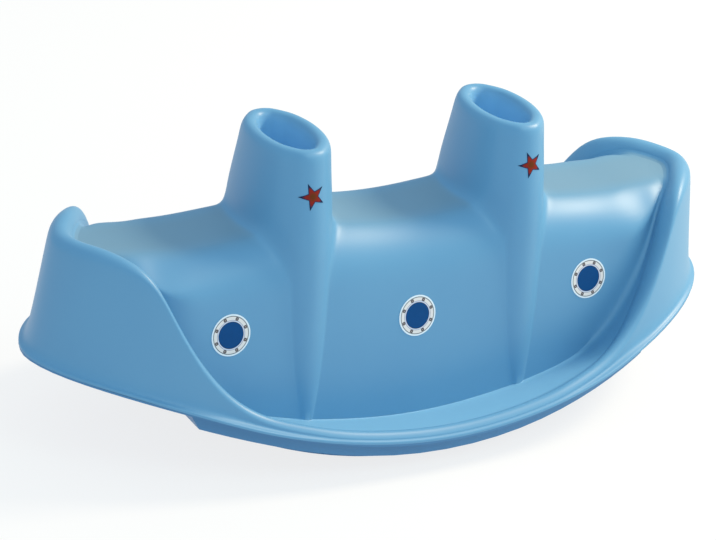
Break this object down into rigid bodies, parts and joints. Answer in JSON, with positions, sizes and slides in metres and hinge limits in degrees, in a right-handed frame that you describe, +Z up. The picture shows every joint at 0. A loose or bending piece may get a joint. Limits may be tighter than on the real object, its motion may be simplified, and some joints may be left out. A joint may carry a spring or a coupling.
{
  "type": "rocking boat toy",
  "caption": "Moulded plastic rocking boat for small children: boat-shaped hull with a bench seat, side foot wells and funnel hand holds on a curved rocker base.",
  "frame": {"origin": "on the floor under the middle of the boat, at the sole's flat land", "axes": "+Z up, +X along the boat, +Y to the side called port"},
  "size_m": [1.06, 0.483, 0.421],
  "materials": {
    "hull_plastic": "satin moulded polyethylene",
    "base_plastic": "satin moulded polyethylene",
    "screw_steel": "zinc plated",
    "porthole_print": "printed vinyl film",
    "star_print": "printed vinyl film"
  },
  "bodies": {
    "root": {"hull_shell": "hull_plastic", "rocker_base": "base_plastic", "base_screws": "screw_steel", "porthole_port_fore": "porthole_print", "porthole_port_mid": "porthole_print", "porthole_port_aft": "porthole_print", "porthole_starboard_fore": "porthole_print", "porthole_starboard_mid": "porthole_print", "porthole_starboard_aft": "porthole_print", "star_port_fore": "star_print", "star_port_aft": "star_print", "star_starboard_fore": "star_print", "star_starboard_aft": "star_print"}
  },
  "joints": []
}
